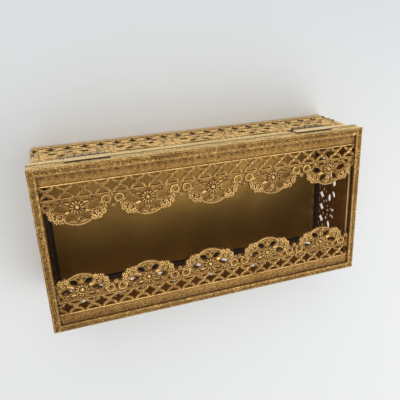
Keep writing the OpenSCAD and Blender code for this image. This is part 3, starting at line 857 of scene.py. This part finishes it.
def hinge_metal(name, colours):
    """Pale worn leaves with painted shade over the barrel and along the lid leaf's top edge; the barrel is
    painted darker as shade, with dark joints between knuckles.
    """
    pale, patina_and_shade = colours.hinge, colours.patina_and_shade
    material = aged_gilt(name, pale, pale, colours, 0.05, 0.5, 0.0025, 0.3)
    tree = material.node_tree
    pin_low, pin_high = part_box("right_hinge_pin")
    middle = (pin_low.x + pin_high.x) / 2
    axis_z = (pin_low.z + pin_high.z) / 2
    knuckle = (pin_high.x - pin_low.x + MM) / KNUCKLES
    barrel_top = axis_z + 0.0016, axis_z + 0.0019
    gap_shade_top = axis_z + 0.0043, axis_z + 0.0056
    height = axis_of(tree, place(tree), 2)
    # The barrel is painted darker, as shade.
    barrel_shade = ramp(tree, height, *barrel_top, 0.85, 0.0)
    tinted(tree, barrel_shade, scaled(pale, 0.42))
    along = maths(tree, "ABSOLUTE", axis_of(tree, place(tree), 0), 0.0)
    from_end = maths(tree, "SUBTRACT", along, middle - KNUCKLES / 2 * knuckle)
    share = maths(tree, "DIVIDE", from_end, knuckle)
    joint = ramp(tree, maths(tree, "PINGPONG", share, 0.5), 0.07, 0.13, 1.0, 0.0)
    tinted(tree, times(tree, joint, barrel_shade), patina_and_shade)
    # A painted shadow line along the top edge of the lid's leaf.
    leaf_edge_shadow = ramp(tree, height, LEAF_TOP - 2 * ON_TOP, LEAF_TOP - ON_TOP, 0.0, 0.9)
    tinted(tree, leaf_edge_shadow, patina_and_shade)
    # Painted shade in the gap between the barrel and the leaf.
    painted_shade = ramp(tree, height, *gap_shade_top, 0.9, 0.0)
    painted_shade = times(tree, painted_shade, ramp(tree, height, *barrel_top))
    tinted(tree, painted_shade, patina_and_shade)
    return material


def satin_sheet(name, colour):
    """Plated sheet with a soft brushed grain and cloudy tarnish."""
    material, tree, shader = new_material(name)
    stretch = node(tree, "ShaderNodeMapping", Vector=place(tree), Scale=(3.0, 90.0, 1.0))
    brushed = noise(tree, 14.0, 5.0, 0.6, stretch.outputs[0])
    cloud = noise(tree, 16.0, 4.0, 0.6)
    tone = mixed(tree, ramp(tree, cloud, 0.35, 0.7), colour, scaled(colour, 0.72))
    tone = mixed(tree, ramp(tree, brushed, 0.4, 0.7, 0.0, 0.18), tone, scaled(colour, 0.5))
    rough = ramp(tree, cloud, 0.3, 0.75, 0.42, 0.54)
    feed(tree, shader, Base_Color=tone, Roughness=rough, Metallic=0.96)
    bumped(tree, shader, brushed, 0.00004, 0.5)
    return material


def felt_cloth(name, colour):
    material, tree, shader = new_material(name)
    fibre = noise(tree, 1800.0, 4.0, 0.8)
    tone = mixed(tree, ramp(tree, fibre, 0.3, 0.75), colour, scaled(colour, 2.6))
    feed(tree, shader, Base_Color=tone, Roughness=0.95)
    shader.inputs["Sheen Weight"].default_value = 0.25
    shader.inputs["Specular IOR Level"].default_value = 0.15
    bumped(tree, shader, fibre, 0.00018, 0.8)
    return material


def pressed_board(name, colour):
    material, tree, shader = new_material(name)
    grain = noise(tree, 700.0, 5.0, 0.7)
    tone = mixed(tree, ramp(tree, grain, 0.35, 0.7), colour, scaled(colour, 1.8))
    feed(tree, shader, Base_Color=tone, Roughness=0.85)
    bumped(tree, shader, grain, 0.0001, 0.6)
    return material


def dress(material, *names):
    """Gives CAD nodes a finish."""
    for name in names:
        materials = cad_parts[name].data.materials
        materials.clear()
        materials.append(material)


def side_layout(name, along, out):
    """A node's length in mm, the middle of its foot, which axis it faces, and its inner and outer face."""
    low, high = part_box(name)
    axis = 0 if along[0] else 1
    face = 1 - axis
    foot = [(low.x + high.x) / 2, (low.y + high.y) / 2, low.z]
    faces = (low[face], high[face]) if out[face] > 0 else (high[face], low[face])
    return (high[axis] - low[axis]) / MM, foot, face, *faces


def finish_piece(piece, material, body):
    piece.data.materials.append(material)
    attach(piece, body)


# -------------------- operators


class CASKET_OT_lid_filigree(Operator):
    """Raises the flowers, scrolls and lattice on the two strips of the lid"""

    bl_idname = "casket.lid_filigree"
    bl_label = "Lid Filigree"

    def execute(self, context):
        sizes, colours = context.scene.casket_sizes, context.scene.casket_colours
        gilt = aged_gilt("aged_gilt_lid", colours.ground, colours.gilt, colours)
        for side, hand in (("front", 1), ("back", -1)):
            dress(gilt, f"lid_{side}_filigree")
            low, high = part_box(f"lid_{side}_filigree")
            edge_y = (LID_FRONT if hand > 0 else LID_BACK) + hand * sizes.rail
            length = (high.x - low.x) / MM
            bare_ends = sizes.rail / MM - (low.x - LID_LEFT) / MM
            shift = sizes.front_shift / MM if hand > 0 else 0
            band = Band(sizes, length, bare_ends, False, shift, sizes.relief, LID_SEED + hand)
            origin = ((low.x + high.x) / 2, edge_y, low.z + sizes.sheet)
            piece = band.draw().make(f"lid_{side}_ornament", origin, (hand, 0, 0), (0, hand, 0), (0, 0, 1))
            finish_piece(piece, gilt, "lid")
        return {"FINISHED"}


class CASKET_OT_wall_filigree(Operator):
    """Raises the ornament on the four walls of the case"""

    bl_idname = "casket.wall_filigree"
    bl_label = "Wall Filigree"

    def execute(self, context):
        sizes, colours = context.scene.casket_sizes, context.scene.casket_colours
        gilt = wall_gilt("aged_gilt_wall", colours)
        for seed, (side, (along, out)) in enumerate(SIDES.items()):
            dress(gilt, f"{side}_wall_filigree")
            length, origin, face, inner, _ = side_layout(f"{side}_wall_filigree", along, out)
            origin[face] = inner + out[face] * sizes.sheet
            band = Band(sizes, length, 0.6, True, 0, sizes.wall_relief, WALL_SEED + seed)
            piece = band.draw().make(f"{side}_wall_ornament", origin, along, (0, 0, 1), out)
            finish_piece(piece, gilt, "case")
        return {"FINISHED"}


class CASKET_OT_rails(Operator):
    """Chases the lid's moulded rails and finishes them, the rim rails and the base angles"""

    bl_idname = "casket.rails"
    bl_label = "Rails"

    def execute(self, context):
        sizes, colours = context.scene.casket_sizes, context.scene.casket_colours
        chased = engraved_gilt("engraved_gilt_lid", colours, 0.45)
        plain = rim_gilt("aged_gilt_rim", colours)
        for seed, (side, (along, out)) in enumerate(SIDES.items()):
            dress(chased, f"lid_{side}_rail")
            dress(plain, f"{side}_rim_rail", f"base_{side}_angle")
            length, origin, face, _, outer = side_layout(f"lid_{side}_rail", along, out)
            height = (LID_TOP - LID_FOOT) / MM
            top, skirt = rail_relief(sizes, length, height, RAIL_SEED + 2 * seed)
            origin[2] = LID_TOP - sizes.panel_depth
            origin[face] = outer
            inwards = tuple(-c for c in out)
            laurel = top.make(f"lid_{side}_laurel", origin, along, inwards, (0, 0, 1))
            origin[2] = LID_FOOT
            origin[face] = outer - out[face] * sizes.panel_depth
            vine = skirt.make(f"lid_{side}_vine", origin, along, (0, 0, 1), out)
            for piece in (laurel, vine):
                finish_piece(piece, chased, "lid")
        return {"FINISHED"}


class CASKET_OT_base(Operator):
    """Finishes the base board, its black lining and the floor plate"""

    bl_idname = "casket.base"
    bl_label = "Base"

    def execute(self, context):
        colours = context.scene.casket_colours
        dress(pressed_board("pressed_board", colours.board), "base_board")
        dress(felt_cloth("black_felt", colours.felt), "base_lining", "lining_edge")
        dress(satin_sheet("satin_gold", colours.satin), "floor_plate")
        return {"FINISHED"}


class CASKET_OT_hinges(Operator):
    """Finishes the hinge leaves and pins"""

    bl_idname = "casket.hinges"
    bl_label = "Hinges"

    def execute(self, context):
        colours = context.scene.casket_colours
        worn = hinge_metal("worn_hinge", colours)
        for side in ("left", "right"):
            dress(worn, *(f"{side}_hinge_{part}" for part in ("case_leaf", "lid_leaf", "pin")))
        return {"FINISHED"}


# Name, place, width and power of each lamp, in metres and watts, and the point that they all face
LAMPS = (("key_lamp", (0.70, -0.50, 1.00), 1.4, 6.0), ("back_lamp", (-0.25, 0.95, 0.75), 1.0, 4.6))
LAMPS_FACE = (0, 0, 0.03)

# Shares of the floor's colour that the camera sees near the case and far behind it; the darker, bluer far
# share is painted shade
NEAR_TINT = (0.955, 0.965, 0.975)
FAR_FLOOR_SHADE = (0.67, 0.715, 0.75)
FLOOR_HALF = 40.0  # half the floor's width, in metres


class CASKET_OT_stage(Operator):
    """Adds the pale floor, the soft lights, the surroundings and the camera"""

    bl_idname = "casket.stage"
    bl_label = "Stage"

    def execute(self, context):
        add_floor(context.scene.casket_colours.floor)
        add_surroundings(context.scene)
        for lamp in LAMPS:
            add_lamp(*lamp)
        add_camera(context.scene)
        context.scene.view_settings.view_transform = "Standard"
        return {"FINISHED"}


def add_floor(colour):
    """A pale table top, which metal reflects a little brighter than it is, and which the camera sees painted
    darker and bluer, as shade, further behind the case.
    """
    mesh = bpy.data.meshes.new("floor")
    corners = [(x * FLOOR_HALF, y * FLOOR_HALF, 0) for x, y in ((-1, -1), (1, -1), (1, 1), (-1, 1))]
    mesh.from_pydata(corners, [], [(0, 1, 2, 3)])
    floor = add_object("floor", mesh)
    material, tree, shader = new_material("pale_floor")
    # Painted shade on the floor, growing further behind the case, seen by the camera only.
    far_shade = ramp(tree, axis_of(tree, place(tree), 1), -0.05, 0.35)
    near, far_shaded_colour = (tuple(c * t for c, t in zip(colour, tint)) for tint in (NEAR_TINT, FAR_FLOOR_SHADE))
    shown = mixed(tree, far_shade, near, far_shaded_colour)
    ray = tree.nodes.new("ShaderNodeLightPath").outputs
    reflected = mixed(tree, ray["Is Glossy Ray"], colour, scaled(colour, 1.22))
    seen = mixed(tree, ray["Is Camera Ray"], reflected, shown)
    feed(tree, shader, Base_Color=seen, Roughness=0.7)
    mesh.materials.append(material)


def add_surroundings(scene):
    """A pale room, whose walls are dimmer than its ceiling where metal reflects them."""
    world = bpy.data.worlds.new("studio")
    scene.world = world
    world.use_nodes = True
    tree = world.node_tree
    tree.nodes.clear()
    out = tree.nodes.new("ShaderNodeOutputWorld")
    ray = tree.nodes.new("ShaderNodeLightPath").outputs
    seen = maths(tree, "MAXIMUM", ray["Is Camera Ray"], ray["Is Glossy Ray"])
    seen = maths(tree, "MAXIMUM", seen, ray["Is Transmission Ray"])
    light = node(tree, "ShaderNodeBackground", Color=(0.97, 0.98, 1.0), Strength=0.75)
    sky = axis_of(tree, place(tree, "Generated"), 2)
    shade = ramp(tree, sky, 0.15, 0.85, 0.28, 1.0)
    backdrop = times(tree, ray["Is Camera Ray"], 0.86)
    strength = maths(tree, "MAXIMUM", shade, backdrop)
    shown = node(tree, "ShaderNodeBackground", Color=(0.92, 0.93, 0.95), Strength=strength)
    both = tree.nodes.new("ShaderNodeMixShader")
    for socket, value in zip(both.inputs, (seen, light.outputs[0], shown.outputs[0])):
        put(tree, socket, value)
    feed(tree, out, Surface=both.outputs[0])


def add_lamp(name, spot, size, power):
    data = bpy.data.lights.new(name, "AREA")
    data.shape = "DISK"
    data.size = size
    data.energy = power
    lamp = add_object(name, data)
    lamp.location = spot
    aim = Vector(LAMPS_FACE) - Vector(spot)
    lamp.rotation_euler = aim.to_track_quat("-Z", "Y").to_euler()


def add_camera(scene):
    """Above the back left corner, rolled so that the back wall is the upper side of the view."""
    spot = Vector((-0.10036, MIDDLE_Y + 0.15667, 0.36914))
    forward = Vector((0.2871, -0.3426, -0.8945)).normalized()
    up = Vector((0.1407, 0.9388, -0.3144))
    right = forward.cross(up).normalized()
    up = right.cross(forward)
    data = bpy.data.cameras.new("camera")
    data.sensor_width = 36.0
    data.lens = 41.87
    data.shift_x = -0.0263
    data.shift_y = -0.054
    data.clip_start = 0.01
    camera = add_object("camera", data)
    turn = Matrix((right, up, -forward)).transposed()
    camera.matrix_world = Matrix.Translation(spot) @ turn.to_4x4()
    scene.camera = camera


class CASKET_PT_panel(Panel):
    bl_idname = "CASKET_PT_panel"
    bl_label = "Gilt Filigree Casket"
    bl_space_type = "VIEW_3D"
    bl_region_type = "UI"
    bl_category = "Casket"

    def draw(self, context):
        for operator in OPERATORS:
            self.layout.operator(operator.bl_idname)
        for group in (context.scene.casket_sizes, context.scene.casket_colours):
            for name in group.bl_rna.properties.keys():
                if name not in ("rna_type", "name"):
                    self.layout.prop(group, name)


OPERATORS = (
    CASKET_OT_lid_filigree,
    CASKET_OT_wall_filigree,
    CASKET_OT_rails,
    CASKET_OT_base,
    CASKET_OT_hinges,
    CASKET_OT_stage,
)
CLASSES = (CasketSizes, CasketColours, *OPERATORS, CASKET_PT_panel)


def register():
    for each in CLASSES:
        bpy.utils.register_class(each)
    bpy.types.Scene.casket_sizes = PointerProperty(type=CasketSizes)
    bpy.types.Scene.casket_colours = PointerProperty(type=CasketColours)


def unregister():
    del bpy.types.Scene.casket_colours
    del bpy.types.Scene.casket_sizes
    for each in reversed(CLASSES):
        bpy.utils.unregister_class(each)


def main():
    register()
    bpy.ops.casket.lid_filigree()
    bpy.ops.casket.wall_filigree()
    bpy.ops.casket.rails()
    bpy.ops.casket.base()
    bpy.ops.casket.hinges()
    bpy.ops.casket.stage()


if __name__ == "__main__":
    main()
